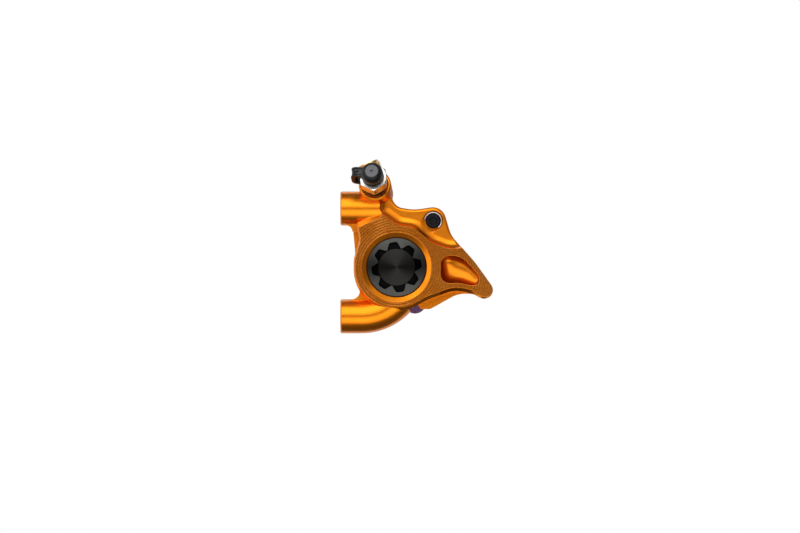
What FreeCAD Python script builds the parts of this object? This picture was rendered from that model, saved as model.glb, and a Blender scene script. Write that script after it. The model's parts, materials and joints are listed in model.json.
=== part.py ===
import FreeCAD, Part
import math
import os

V = FreeCAD.Vector

# Millimetres. X runs away from the frame's mounting face, Y runs back from the viewer, Z is up.
# The origin is midway between the two threaded posts, on the plane of their ends.

# Posts that bolt to the frame
post_spacing = 34.0
post_d = 10.7
post_reach = 14.0
mount_thread_d = 5.0
mount_thread_depth = 11.0
horn_bend_r = 15.65

# Rotor that runs through the caliper
rotor_d = 140.0
rotor_y = 11.0
rotor_slot_w = 3.8
rotor_edge_room = 1.5

# Cylinders
bore_x = 17.7
bore_z = -1.5
piston_d = 16.0
piston_len = 6.9
piston_play = 0.05
seal_w = 1.7
seal_depth = 1.55
seal_play = 0.05

# Heights of the body's layers, measured along Y
face_y = -5.5
trough_y = -1.8
deep_y = 0.8
back_y = 24.5
hub_y = 27.0
edge_h = 1.1

# Screw-in cap over the outer cylinder
cap_skirt_t = 1.35
cap_skirt_room = 0.1
cap_play = 0.05
cap_sink = 0.8
cap_ring_w = 1.45
cap_len = 5.0
cap_socket_d = 12.2
cap_lobe_tip_d = 15.8
cap_lobes = 8
cap_lobe_turn = 8.0

# Pads
pad_left = 11.0
pad_right = 15.0
pad_inner = 8.7
pad_gap = 3.0
lining_t = 2.2
backplate_t = 1.8
pad_play = 0.3
insulator_rise = 0.5

# Pin that holds the pads
pin_x = 29.2
pin_z = 13.1
pin_d = 4.0
pin_head_d = 4.7
pin_boss_r = 4.2
pin_play = 0.1

# Beak at the far end of the body
tip_x = 45.3
tip_z = -8.7
tip_r = 2.7

# Bleed nipple and its boss, set at a slant
nipple_x = 10.85
nipple_z = 24.4
nipple_rim_y = -5.6
nipple_boss_d = 10.2
nipple_hex = 8.0
nipple_thread_d = 5.0
nipple_dir = V(-0.07, -0.9485, 0.309)

# Hose port, leaning towards the frame
port_x = 10.95
port_z = 26.0
port_y = 7.0
port_lean = 22.0
port_boss_d = 8.4
connector_d = 7.1
connector_len = 4.6
connector_shank_d = 4.4
washer_t = 1.4
washer_d = 8.1
washer_room = 0.3

# Oil drillings
drill_d = 2.5
drill_x = 13.2
drill_z = 20.2
plug_d = 3.2

post_r = post_d / 2
post_z = post_spacing / 2
piston_r = piston_d / 2
cap_r = piston_r + cap_skirt_room + cap_skirt_t
bore_r = piston_r + piston_play
cap_seat_r = cap_r + cap_play
cap_y = face_y + cap_sink
cap_end_y = cap_y + cap_len
pin_r = pin_d / 2
pad_dir = math.atan2(pin_z - bore_z, pin_x - bore_x)
pad_reach = math.hypot(pin_z - bore_z, pin_x - bore_x)
rotor_reach = rotor_d / 2 - pad_inner + 0.2
outer_lining_y = rotor_y - pad_gap / 2
outer_plate_y = outer_lining_y - lining_t
outer_piston_y = outer_plate_y - backplate_t
slot_y = rotor_y - rotor_slot_w / 2
cavity_half = rotor_y - outer_piston_y + 0.2
seal_y = outer_piston_y - 2.9


def pad_point(across, out, radius=0.0):
    """Point in the pad's own axes: across the rotor's radius, and outwards along it."""
    x = bore_x + out * math.cos(pad_dir) + across * math.sin(pad_dir)
    z = bore_z + out * math.sin(pad_dir) - across * math.cos(pad_dir)
    return (x, z, radius)


def corner_turn(before, corner, after):
    """Directions of the two sides at a corner and the angle between them."""
    a = V(corner[0] - before[0], corner[1] - before[1], 0).normalize()
    b = V(after[0] - corner[0], after[1] - corner[1], 0).normalize()
    return a, b, a.getAngle(b)


def corner_arcs(points):
    """For each corner of an outline the arc (start, middle, end) that rounds it, or the bare corner."""
    count = len(points)
    turns = [corner_turn(points[i - 1], points[i], points[(i + 1) % count]) for i in range(count)]
    cuts = [p[2] * math.tan(t[2] / 2) for p, t in zip(points, turns)]
    room = [1.0] * count
    for i in range(count):
        j = (i + 1) % count
        side = math.hypot(points[j][0] - points[i][0], points[j][1] - points[i][1])
        if cuts[i] + cuts[j] > side:
            share = side / (cuts[i] + cuts[j])
            room[i] = min(room[i], share)
            room[j] = min(room[j], share)
    arcs = []
    for (x, z, radius), (a, b, turn), cut, fit in zip(points, turns, cuts, room):
        if cut * fit < 0.002:
            arcs.append([(x, z)])
            continue
        cut *= fit
        sink = cut / math.sin(turn / 2) * (1 - math.cos(turn / 2))
        inwards = (b - a).normalize()
        arcs.append([(x - a.x * cut, z - a.y * cut), (x + inwards.x * sink, z + inwards.y * sink),
                     (x + b.x * cut, z + b.y * cut)])
    return arcs


def outline(points, y):
    """Closed wire at depth y through corners (x, z, rounding radius)."""
    arcs = corner_arcs(points)
    edges = []
    for i, arc in enumerate(arcs):
        here = [V(x, y, z) for x, z in arc]
        x, z = arcs[(i + 1) % len(arcs)][0]
        if len(here) == 3:
            edges.append(Part.Arc(here[0], here[1], here[2]).toShape())
        if here[-1].distanceToPoint(V(x, y, z)) > 0.001:
            edges.append(Part.LineSegment(here[-1], V(x, y, z)).toShape())
    return Part.Wire(edges)


def plate(points, y0, y1):
    """Flat plate with the given outline between two depths."""
    return Part.Face(outline(points, y0)).extrude(V(0, y1 - y0, 0))


def inset(points, widths):
    """The outline moved inwards, each side by its own width."""
    count = len(points)
    area = sum(points[i - 1][0] * points[i][1] - points[i][0] * points[i - 1][1] for i in range(count))
    hand = 1.0 if area > 0 else -1.0
    moved = []
    for i in range(count):
        p, c, n = points[i - 1], points[i], points[(i + 1) % count]
        a = math.atan2(c[1] - p[1], c[0] - p[0])
        b = math.atan2(n[1] - c[1], n[0] - c[0])
        wa, wb = widths[i - 1], widths[i]
        turn = math.sin(b - a)
        ax, az = -math.sin(a) * wa * hand, math.cos(a) * wa * hand
        bx, bz = -math.sin(b) * wb * hand, math.cos(b) * wb * hand
        if abs(turn) < 0.05:
            moved.append((c[0] + (ax + bx) / 2, c[1] + (az + bz) / 2, c[2]))
            continue
        s = ((bx - ax) * math.sin(b) - (bz - az) * math.cos(b)) / turn
        radius = c[2] - (wa + wb) / 2 if turn * hand > 0 else c[2] + (wa + wb) / 2
        radius = max(radius, 0.15) if c[2] > 0 else 0.0
        moved.append((c[0] + ax + s * math.cos(a), c[1] + az + s * math.sin(a), radius))
    return moved


def bevel_plate(points, widths, y0, y1):
    """Layer that narrows from its full outline at y0 to the inset outline at y1."""
    wires = [outline(points, y0), outline(inset(points, widths), y1)]
    return Part.makeLoft(wires, True, True)


def rod(p, q, radius):
    """Round rod between two points."""
    return Part.makeCylinder(radius, p.distanceToPoint(q), p, q - p)


def along_y(x, z, y0, y1, radius):
    """Round rod along Y."""
    return Part.makeCylinder(radius, y1 - y0, V(x, y0, z), V(0, 1, 0))


def turned(profile, place):
    """Turned piece: the profile (radius, height) spun about its own axis, then put in place."""
    wire = Part.makePolygon([V(r, 0, h) for r, h in profile + profile[:1]])
    shape = Part.Face(wire).revolve(V(0, 0, 0), V(0, 0, 1), 360)
    shape.Placement = place
    return shape


def turned_y(x, z, profile):
    """Turned piece about an axis along Y, the profile given as (radius, y)."""
    return turned(profile, FreeCAD.Placement(V(x, 0, z), FreeCAD.Rotation(V(0, 0, 1), V(0, 1, 0))))


def hexagon(width, h0, h1):
    """Hexagonal bar across local Z, corners up and down in local Y."""
    radius = width / math.sqrt(3)
    points = []
    for k in range(7):
        a = math.radians(90 + 60 * k)
        points.append(V(radius * math.cos(a), radius * math.sin(a), h0))
    return Part.Face(Part.makePolygon(points)).extrude(V(0, 0, h1 - h0))


def mirrored(shape):
    """The same piece on the rotor's other side."""
    return shape.mirror(V(0, rotor_y, 0), V(0, 1, 0))


def try_fillet(shape, radius, wanted):
    """Round the edges that wanted() picks; leave them sharp where that can't be done."""
    edges = [e for e in shape.Edges if wanted(e)]
    if not edges:
        return shape
    try:
        done = shape.makeFillet(radius, edges)
    except Exception:
        return shape
    return done if done.isValid() and done.Volume > 0.5 * shape.Volume else shape


def top_contour():
    """Body's upper edge from the frame-side column over the pin boss to the beak."""
    return [
        (15.3, post_z + 8.5, 2.0),
        (16.9, 17.6, 4.0),
        (23.2, pin_z + 3.45, 14.0),
        (pin_x + 2.9, pin_z + 4.8, pin_boss_r),
        (34.9, 8.5, 9.0),
        (42.4, 0.0, 24.0),
        (tip_x + tip_r * 1.26, tip_z - 0.1, tip_r),
        (tip_x + 0.6, tip_z - tip_r * 1.3, tip_r),
        (42.2, -10.05, 4.0),
    ]


def body_outline():
    """Silhouette of the body without its posts."""
    low = bore_z - 13.25
    left = bore_x - 13.4
    return top_contour() + [
        (37.3, -9.75, 9.0),
        (28.3, low, 1.4),
        (25.3, low, 0.6),
        (24.3, low + 1.75, 0.6),
        (bore_x + 3.3, low, 11.0),
        (left, low, 12.8),
        (left + 0.3, bore_z + 5.0, 12.0),
        (left - 0.7, 14.0, 0.8),
        (6.2, 15.0, 0.8),
        (6.2, post_z + 8.5, 2.0),
    ]


def face_outline():
    """Raised front plate: round face over the cylinder, beak and the land beside the upper post."""
    low = bore_z - 13.7
    left = bore_x - 13.5
    side = top_contour()
    side[0] = (15.5, 23.0, 0.0)
    return side + [
        (36.2, -8.55, 10.0),
        (bore_x + 10.1, bore_z - 10.1, 3.0),
        (bore_x + 3.57, low, 12.6),
        (left, low, 12.9),
        (left, bore_z + 2.5, 6.0),
        (bore_x - 11.7, bore_z + 8.7, 3.0),
        (5.0, 12.3, 0.7),
        (13.0, 16.0, 0.5),
        (13.0, 23.0, 0.0),
    ]


def face_bevels():
    """Bevel width of each side of the front plate: wide below, steep beside the post, none above."""
    return [0, 0, 0, 0, 0, 0, 0.3, 0.7, 1.1, 1.1, 1.1, 1.1, 0.45, 0.45, 0.45, 1.5, 0, 0]


def trough_cutter():
    """Round-nosed pocket that runs along the upper edge from the post to the beak."""
    points = [
        (12.4, 60.0, 0.0),
        (12.4, 15.9, 3.2),
        (18.2, bore_z + 13.2, 5.0),
        (23.2, bore_z + 12.5, 5.0),
        (28.8, bore_z + 7.7, 6.0),
        (34.0, 4.2, 8.0),
        (90.0, 9.0, 0.0),
        (90.0, 60.0, 0.0),
    ]
    cutter = plate(points, trough_y, face_y - 30)
    nose = 2.8

    def wall_foot(e):
        c = e.CenterOfMass
        return abs(c.y - trough_y) < 0.01 and c.z < 50 and c.x < 80

    return cutter.makeFillet(nose, [e for e in cutter.Edges if wall_foot(e)])


def beak_pocket():
    """Bowl-shaped pocket in the beak, its floor rising towards the tip."""
    points = [
        (31.7, 2.2, 2.7),
        (37.9, 2.0, 6.0),
        (44.2, -4.6, 2.6),
        (43.2, -7.8, 2.0),
        (37.5, -6.5, 8.0),
        (31.6, -6.6, 2.7),
    ]
    deepest = face_y + 4.7
    cutter = plate(points, face_y - 4, deepest + 2)
    floor = Part.makeBox(30, 10, 30, V(-6, 0, -15))
    floor.Placement = FreeCAD.Placement(V(31.6, deepest, 0), FreeCAD.Rotation(V(0, 0, 1), -18))
    cutter = cutter.cut(floor)

    def floor_edge(e):
        upright = e.BoundBox.XLength < 0.01 and e.BoundBox.ZLength < 0.01
        return e.BoundBox.YMin > face_y - 3 and not upright

    return try_fillet(cutter, 1.9, floor_edge)


def post(z, reach):
    """Round post along X with the edge of its end broken."""
    profile = [(0, 0), (post_r - 0.4, 0), (post_r, 0.4), (post_r, reach), (0, reach)]
    return turned(profile, FreeCAD.Placement(V(0, 0, z), FreeCAD.Rotation(V(0, 0, 1), V(1, 0, 0))))


def horn():
    """Lower post, which bends round into the underside of the cylinder."""
    centre = V(6.6, 0, horn_bend_r - post_z)
    section = Part.Face(Part.Wire(Part.makeCircle(post_r, V(6.6, 0, -post_z), V(1, 0, 0))))
    bend = section.revolve(centre, V(0, -1, 0), 48)
    return post(-post_z, 6.6).fuse(bend)


def web(x, z, side, radius, depth):
    """Concave web where a post's flank at height z runs into the body's edge at x; side 1 is an upper post."""
    deep = z + 1.6 * side
    foot = z - radius * side
    points = [(x - radius, deep, 0), (x - radius, z, 0), (x, z, radius), (x, foot, 0), (x + 2.5, foot, 0), (x + 2.5, deep, 0)]
    return plate(points, -depth, depth)


def nipple_place():
    """Placement with local Z out along the nipple and local Y upwards."""
    return FreeCAD.Placement(V(nipple_x, nipple_rim_y, nipple_z), FreeCAD.Rotation(V(0, 0, 1), nipple_dir))


def port_place():
    """Placement with local Z out along the hose port, its zero on the boss."""
    lean = math.radians(port_lean)
    return FreeCAD.Placement(V(port_x, port_y, port_z), FreeCAD.Rotation(V(0, 0, 1), V(-math.sin(lean), 0, math.cos(lean))))


def body_blank():
    """Outer shape of the body before any hole is made."""
    layer = body_outline()
    blank = plate(layer, deep_y, back_y - edge_h)
    rims = [0.9] * len(layer)
    blank = blank.fuse(bevel_plate(layer, rims, back_y - edge_h, back_y))
    face = face_outline()
    blank = blank.fuse(plate(face, face_y + edge_h, deep_y + 0.4))
    blank = blank.fuse(bevel_plate(face, face_bevels(), face_y + edge_h, face_y))
    blank = blank.fuse(post(post_z, post_reach))
    blank = blank.cut(trough_cutter())

    def trough_rim(e):
        c = e.CenterOfMass
        flat = abs(e.BoundBox.YMin - trough_y) < 0.02 and abs(e.BoundBox.YMax - trough_y) < 0.02
        return flat and c.z > 6.6 and c.x > 15.9 and not (c.x < 30 and c.z < 15.5)

    blank = try_fillet(blank, 0.9, trough_rim)
    blank = blank.fuse(horn())
    blank = blank.fuse(web(3.75, post_z - post_r, 1, 1.9, 2.0))
    blank = blank.fuse(web(6.1, post_r - post_z, -1, 2.7, 2.0))
    hub = turned_y(bore_x, bore_z, [(0, back_y - 3), (12.0, back_y - 3), (12.0, hub_y - 1.2), (10.8, hub_y),
                                    (8.0, hub_y), (7.2, hub_y - 0.8), (0, hub_y - 0.8)])
    blank = blank.fuse(hub)
    boss_r = nipple_boss_d / 2
    boss = turned([(0, -9.5), (boss_r, -9.5), (boss_r, -0.45), (boss_r - 0.45, 0), (4.35, 0), (3.6, -0.7), (0, -0.7)],
                  nipple_place())
    blank = blank.fuse(boss)
    port_r = port_boss_d / 2
    port = turned([(0, -8), (port_r - 1.9, -8), (port_r - 1.9, -5.2), (port_r, -2.4), (port_r, -0.4), (port_r - 0.4, 0),
                   (0, 0)], port_place())
    return blank.fuse(port)


def cylinder_cuts():
    """Both cylinders with the cap's seat, the seal grooves and the oil galleries."""
    chamfer = turned_y(bore_x, bore_z, [(0, face_y - 1), (cap_seat_r + cap_ring_w + 1, face_y - 1),
                                        (cap_seat_r + cap_ring_w, face_y), (cap_seat_r, face_y + 1.0), (0, face_y + 1.0)])
    seat = along_y(bore_x, bore_z, face_y - 1, cap_end_y + 0.1, cap_seat_r)
    bore = along_y(bore_x, bore_z, cap_end_y, outer_piston_y, bore_r)
    gallery = along_y(bore_x, bore_z, cap_end_y, cap_end_y + 1.4, bore_r + 0.55)
    groove = along_y(bore_x, bore_z, seal_y, seal_y + seal_w + 0.1, piston_r + seal_depth)
    deep = 2 * rotor_y - outer_piston_y
    inner_bore = along_y(bore_x, bore_z, deep - 0.5, back_y + 0.2, bore_r)
    inner_gallery = along_y(bore_x, bore_z, back_y - 1.6, back_y + 0.2, bore_r + 0.55)
    return [chamfer, seat, bore, gallery, groove, inner_bore, inner_gallery, mirrored(groove)]


def pad_outline(extra=0.0):
    """Backplate's outline with the ear that hangs on the pin."""
    a = pad_left + extra
    b = pad_right + extra
    n = pad_inner + extra
    ear = pin_r + 1.35 + extra
    return [
        pad_point(-a, -n, 4.0),
        pad_point(b, -n, 3.5),
        pad_point(b, 6.0 + extra, 2.0),
        pad_point(9.0 + extra, 11.5 + extra, 2.0),
        pad_point(ear + 1.0, 13.6 + extra, 2.0),
        pad_point(ear, pad_reach + ear, ear - 0.1),
        pad_point(-ear, pad_reach + ear, ear - 0.1),
        pad_point(-ear - 1.0, 13.6 + extra, 2.0),
        pad_point(-7.5 - extra, 11.5 + extra, 2.0),
        pad_point(-a, 7.0 + extra, 2.0),
    ]


def pad_cuts():
    """Room for the pads, open towards the rotor's hub, and the window above them."""
    low = rotor_y - cavity_half
    high = rotor_y + cavity_half
    nest = plate(pad_outline(pad_play), low, high)
    a = pad_left + pad_play
    b = pad_right + pad_play
    mouth = plate([pad_point(-a, 0), pad_point(b, 0), pad_point(b, -40), pad_point(-a, -40)], low, high)
    window = plate([pad_point(-8, 8), pad_point(9, 8), pad_point(9, 60), pad_point(-8, 60)], low, high)
    hub_x = bore_x - rotor_reach * math.cos(pad_dir)
    hub_z = bore_z - rotor_reach * math.sin(pad_dir)
    slot = along_y(hub_x, hub_z, slot_y, slot_y + rotor_slot_w, rotor_d / 2 + rotor_edge_room)
    return [nest, mouth, window, slot]


def pin_cuts():
    """Holes for the pad pin and the counterbore round its head."""
    head = along_y(pin_x, pin_z, face_y - 1, trough_y + 3.0, pin_head_d / 2 + 0.85)
    relief = along_y(pin_x - 0.9, pin_z - 0.8, face_y - 1, trough_y + 1.4, pin_head_d / 2 + 0.6)
    hole = along_y(pin_x, pin_z, trough_y, back_y - 2.8, pin_r + pin_play)
    return [head, relief, hole]


def oil_cuts():
    """Nipple and hose ports, the spotface under the hose's washer, and the drillings between them and the bores."""
    place = nipple_place()
    nipple_hole = turned([(0, -6.6), (nipple_thread_d / 2 + 0.05, -6.6), (nipple_thread_d / 2 + 0.05, 1), (0, 1)], place)
    nipple_oil = rod(place.multVec(V(0, 0, -6.0)), V(drill_x, port_y - 2.8, drill_z), 1.1)
    place = port_place()
    port_hole = turned([(0, -4.8), (connector_shank_d / 2 + 0.05, -4.8), (connector_shank_d / 2 + 0.05, 1), (0, 1)], place)
    spot_r = washer_d / 2 + washer_room
    spotface = turned([(0, 0), (spot_r, 0), (spot_r, 8), (0, 8)], place)
    port_oil = rod(place.multVec(V(0, 0, -4.0)), V(drill_x, port_y, drill_z), 1.1)
    cross = along_y(drill_x, drill_z, port_y - 4.2, back_y + 1, drill_d / 2)
    plug_seat = along_y(drill_x, drill_z, back_y - 4.6, back_y + 1, plug_d / 2 + 0.05)
    foot_x = bore_x - 1.8
    foot_z = bore_z + piston_r + 0.4
    feed = rod(V(drill_x, port_y - 2.0, drill_z), V(foot_x, cap_end_y + 0.7, foot_z), 0.8)
    inner_feed = rod(V(drill_x, port_y + 8.6, drill_z), V(foot_x, back_y - 0.8, foot_z), 0.8)
    return [nipple_hole, nipple_oil, spotface, port_hole, port_oil, cross, plug_seat, feed, inner_feed]


def post_cuts():
    """Threaded holes of the two posts, with the drill's cone at their bottom."""
    cuts = []
    for z in (post_z, -post_z):
        r = mount_thread_d / 2
        tool = [(0, -1), (r, -1), (r, mount_thread_depth), (0, mount_thread_depth + 1.2)]
        place = FreeCAD.Placement(V(0, 0, z), FreeCAD.Rotation(V(0, 0, 1), V(1, 0, 0)))
        cuts.append(turned(tool, place))
    return cuts


def back_pockets():
    """Weight-saving pocket behind the beak."""
    points = [(32.8, 2.2, 2.4), (38.2, 1.6, 5.0), (43.6, -5.0, 2.4), (42.0, -7.6, 1.6), (33.0, -6.6, 2.6)]
    return [plate(points, back_y - 3.2, back_y + 1)]


def caliper_body():
    cuts = cylinder_cuts() + pad_cuts() + pin_cuts() + oil_cuts() + post_cuts() + back_pockets()
    cuts.append(beak_pocket())
    body = body_blank()
    for cut in cuts:
        body = body.cut(cut)
    body = max(body.Solids, key=lambda s: s.Volume)
    merged = body.removeSplitter()
    return merged if merged.isValid() else body


def cap_lobe(turn):
    """One lobe of the cap's tool socket."""
    tip = cap_lobe_tip_d / 2
    half = 1.75
    base = cap_socket_d / 2 - 0.1
    points = [(2.0, -half - 0.1, 0), (base, -half - 0.25, 0.5), (tip, -1.25, 0.8), (tip, 1.25, 0.8),
              (base, half + 0.25, 0.5), (2.0, half + 0.1, 0)]
    c, s = math.cos(math.radians(turn)), math.sin(math.radians(turn))
    there = [(bore_x + x * c - z * s, bore_z + x * s + z * c, r) for x, z, r in points]
    return plate(there, cap_y - 1, cap_y + 1.6)


def bore_cap():
    """Screw-in cap: ring face, sunk middle disc, lobed socket, hollow skirt with the ring's groove."""
    wall = cap_y + 2.7
    end = cap_y + cap_len
    skirt = cap_r - cap_skirt_t
    profile = [(0, cap_y + 0.6), (cap_socket_d / 2, cap_y + 0.6), (cap_socket_d / 2, cap_y + 0.1),
               (cap_socket_d / 2 + 0.1, cap_y), (cap_r - 0.35, cap_y), (cap_r, cap_y + 0.35), (cap_r, end - 1.4),
               (cap_r - 0.7, end - 1.4), (cap_r - 0.7, end - 0.5), (cap_r, end - 0.5), (cap_r, end),
               (skirt, end), (skirt, wall), (0, wall)]
    cap = turned_y(bore_x, bore_z, profile)
    for k in range(cap_lobes):
        lobe = cap_lobe(cap_lobe_turn + 360.0 / cap_lobes * k)
        cap = cap.cut(lobe.cut(along_y(bore_x, bore_z, cap_y - 1, cap_y + 2, cap_socket_d / 2 - 0.35)))
    return cap


def bore_cap_oring():
    half = 0.36
    ring = Part.makeTorus(cap_r - 0.33, half, V(bore_x, cap_end_y - 0.95, bore_z), V(0, 1, 0))
    return ring


def outer_piston():
    """Cup that is closed towards the oil and open towards the pad."""
    end = outer_piston_y - insulator_rise
    start = end - piston_len
    profile = [(0, start), (piston_r - 0.5, start), (piston_r, start + 0.5), (piston_r, end - 0.25), (piston_r - 0.25, end),
               (piston_r - 1.5, end), (piston_r - 1.5, end - 2.2), (piston_r - 3.5, end - 2.2), (piston_r - 3.5, start + 1.6),
               (0, start + 1.6)]
    return turned_y(bore_x, bore_z, profile)


def outer_piston_insulator():
    """Heat-proof disc that sits in the piston and presses on the backplate."""
    face = outer_piston_y
    seat = face - insulator_rise
    profile = [(2.4, seat - 2.0), (piston_r - 1.6, seat - 2.0), (piston_r - 1.6, seat), (piston_r - 0.4, seat),
               (piston_r - 0.4, face), (2.4, face)]
    return turned_y(bore_x, bore_z, profile)


def outer_piston_seal():
    """Square ring in the cylinder's groove."""
    profile = [(piston_r + 0.02, seal_y + 0.05), (piston_r + seal_depth - seal_play, seal_y + 0.05),
               (piston_r + seal_depth - seal_play, seal_y + 0.05 + seal_w), (piston_r + 0.02, seal_y + 0.05 + seal_w)]
    return turned_y(bore_x, bore_z, profile)


def outer_pad_backplate():
    blank = plate(pad_outline(), outer_piston_y, outer_piston_y + backplate_t)
    return blank.cut(along_y(pin_x, pin_z, 0, 30, pin_r + 0.15))


def outer_pad_lining():
    """Friction block with bevelled ends and a groove across its middle."""
    a = pad_left - 0.9
    b = pad_right - 0.9
    points = [pad_point(-a, -7.9, 3.4), pad_point(b, -7.9, 3.0), pad_point(b, 5.4, 1.6), pad_point(8.6, 8.3, 1.6),
              pad_point(-6.8, 8.3, 1.6), pad_point(-a, 6.0, 1.6)]
    block = plate(points, outer_plate_y, outer_lining_y - 0.5)
    rims = [0, 0.5, 0, 0, 0, 0.5]
    block = block.fuse(bevel_plate(points, rims, outer_lining_y - 0.5, outer_lining_y))
    groove = plate([pad_point(1.5, -20), pad_point(2.5, -20), pad_point(2.5, 20), pad_point(1.5, 20)],
                   outer_lining_y - 1.5, outer_lining_y + 1)
    return block.cut(groove).removeSplitter()


def spring_strip(points, across0, across1):
    """Bent strip: its section given as (y, out) and its width across the pad."""
    start = pad_point(across0, 0)
    wire = []
    for y, out in points:
        p = pad_point(across0, out)
        wire.append(V(p[0], y, p[1]))
    face = Part.Face(Part.makePolygon(wire + wire[:1]))
    end = pad_point(across1, 0)
    return face.extrude(V(end[0] - start[0], 0, end[1] - start[1]))


def pad_spring():
    """Leaf spring: a saddle over the rotor's edge with a leg down each backplate at both ends."""
    t = 0.3
    reach = rotor_y - outer_plate_y - 0.03
    top = 13.0
    section = [(-reach, 8.7), (-reach + t, 8.7), (-reach + t, top - 2.1), (-reach + 1.3, top - t - 0.35),
               (-reach + 2.0, top - t), (reach - 2.0, top - t), (reach - 1.3, top - t - 0.35), (reach - t, top - 2.1),
               (reach - t, 8.7), (reach, 8.7), (reach, top - 2.0), (reach - 1.0, top - 0.15), (reach - 1.9, top),
               (-reach + 1.9, top), (-reach + 1.0, top - 0.15), (-reach, top - 2.0)]
    section = [(rotor_y + y, out) for y, out in section]
    saddle = [(rotor_y - 1.5, top - t), (rotor_y + 1.5, top - t), (rotor_y + 1.5, top), (rotor_y - 1.5, top)]
    spring = spring_strip(section, -7.2, -4.4)
    spring = spring.fuse(spring_strip(section, 4.4, 7.2))
    spring = spring.fuse(spring_strip(saddle, -4.4, 4.4))
    return spring.removeSplitter()


def pad_pin():
    """Pin with a round head and a hexagon socket, screwed into the inner half."""
    head = pin_head_d / 2
    seat = trough_y + 3.0
    top = seat - 2.5
    profile = [(0, top), (head - 0.35, top), (head, top + 0.35), (head, seat), (pin_r, seat), (pin_r, back_y - 8),
               (pin_r - 0.2, back_y - 7.8), (pin_r - 0.2, back_y - 7.4), (pin_r, back_y - 7.2), (pin_r, back_y - 3.9),
               (pin_r - 0.6, back_y - 3.3), (0, back_y - 3.3)]
    pin = turned_y(pin_x, pin_z, profile)
    socket = hexagon(2.5, 0, 1.5)
    socket.Placement = FreeCAD.Placement(V(pin_x, top - 0.01, pin_z), FreeCAD.Rotation(V(0, 0, 1), V(0, 1, 0)))
    return pin.cut(socket)


def pad_pin_clip():
    """Open spring ring round the pin's head, its gap to the lower left."""
    head = pin_head_d / 2
    y = trough_y + 0.75
    ring = along_y(pin_x, pin_z, y, y + 0.5, head + 0.6).cut(along_y(pin_x, pin_z, y - 1, y + 2, head + 0.05))
    mid = math.radians(240)
    wide = math.radians(70)
    points = [(pin_x, pin_z, 0)]
    for a in (mid - wide, mid, mid + wide):
        points.append((pin_x + 9 * math.cos(a), pin_z + 9 * math.sin(a), 0))
    return ring.cut(plate(points, y - 1, y + 2))


def bleed_nipple():
    """Nipple: cone tip, thread, neck, hexagon and the spout under the dust cap."""
    place = nipple_place()
    t = nipple_thread_d / 2
    stem = [(0, -6.5), (0.9, -6.5), (t - 0.5, -5.2), (t - 0.5, -4.8)]
    for k in range(5):
        h = -4.6 + 0.8 * k
        stem += [(t, h), (t, h + 0.3), (t - 0.3, h + 0.5), (t - 0.3, h + 0.7)]
    stem += [(t - 0.3, 3.2), (2.8, 3.2), (2.8, 10.2), (2.4, 10.6), (2.4, 11.2), (2.8, 11.5), (2.3, 12.0), (0.7, 12.0), (0.7, 4.0),
             (0, 4.0)]
    nipple = turned(stem, place)
    bar = hexagon(nipple_hex, 3.0, 7.6)
    crown = turned([(0, 3.0), (4.1, 3.0), (4.75, 3.5), (4.75, 7.1), (4.1, 7.6), (0, 7.6)], FreeCAD.Placement())
    bar = bar.common(crown).cut(Part.makeCylinder(2.0, 6, V(0, 0, 2.5)))
    bar.Placement = place
    return nipple.fuse(bar).removeSplitter()


def nipple_dust_cap():
    """Rubber cap with its strap looping to the left and back to a ring round the nipple's neck."""
    cap = turned([(2.82, 7.62), (3.45, 7.62), (3.45, 8.9), (3.25, 9.1), (3.25, 9.5), (3.4, 9.7), (3.4, 11.4), (3.15, 12.3),
                  (2.6, 13.0), (2.25, 13.3), (0.35, 13.3), (0.35, 13.0), (0, 13.0), (0, 12.05), (2.82, 12.05)],
                 FreeCAD.Placement())
    ring = turned([(2.35, 0.9), (4.1, 0.9), (4.1, 2.2), (2.35, 2.2)], FreeCAD.Placement())
    y0, y1 = -0.4, 2.6
    path = [V(-3.0, y0, 7.7), V(-4.9, y0, 7.7), V(-5.7, y0, 6.9), V(-5.7, y0, 3.2), V(-4.9, y0, 2.3), V(-3.0, y0, 2.2),
            V(-3.0, y0, 0.9), V(-5.3, y0, 0.9), V(-7.0, y0, 2.6), V(-7.0, y0, 7.4), V(-5.5, y0, 9.0), V(-3.0, y0, 9.0)]
    strap = Part.Face(Part.makePolygon(path + path[:1])).extrude(V(0, y1 - y0, 0))
    strap.rotate(V(0, 0, 0), V(0, 0, 1), -7)
    strap = strap.cut(Part.makeCylinder(2.82, 20, V(0, 0, -2)))
    peg = Part.makeCylinder(0.55, 0.5, V(-5.3, 1.2, 8.8))
    piece = cap.fuse(ring).fuse(strap).fuse(peg)
    piece.Placement = nipple_place()
    return piece.removeSplitter()


def hose_crush_washer():
    hole = connector_shank_d / 2 + 0.1
    rim = washer_d / 2
    return turned([(hole, 0), (rim, 0), (rim, washer_t), (hole, washer_t)], port_place())


def hose_connector():
    """Connector: shank in the port, plain at the thread's outer size for the hose's nut, cone seat inside."""
    r = connector_d / 2
    s = connector_shank_d / 2
    end = washer_t + connector_len
    stem = [(0.9, -4.6), (s - 0.5, -4.6), (s, -4.1), (s, washer_t), (r, washer_t), (r, end - 0.5), (r - 0.5, end),
            (2.2, end), (0.9, end - 2.2)]
    return turned(stem, port_place())


def drilling_plug():
    """Headless screw that closes the drilling across the bridge."""
    r = plug_d / 2
    profile = [(0, back_y - 4.4), (r - 0.3, back_y - 4.4), (r, back_y - 4.1), (r, back_y - 0.5), (r - 0.2, back_y - 0.3),
               (0, back_y - 0.3)]
    plug = turned_y(drill_x, drill_z, profile)
    socket = hexagon(1.5, 0, 3)
    socket.Placement = FreeCAD.Placement(V(drill_x, back_y - 2, drill_z), FreeCAD.Rotation(V(0, 0, 1), V(0, 1, 0)))
    return plug.cut(socket)


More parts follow.
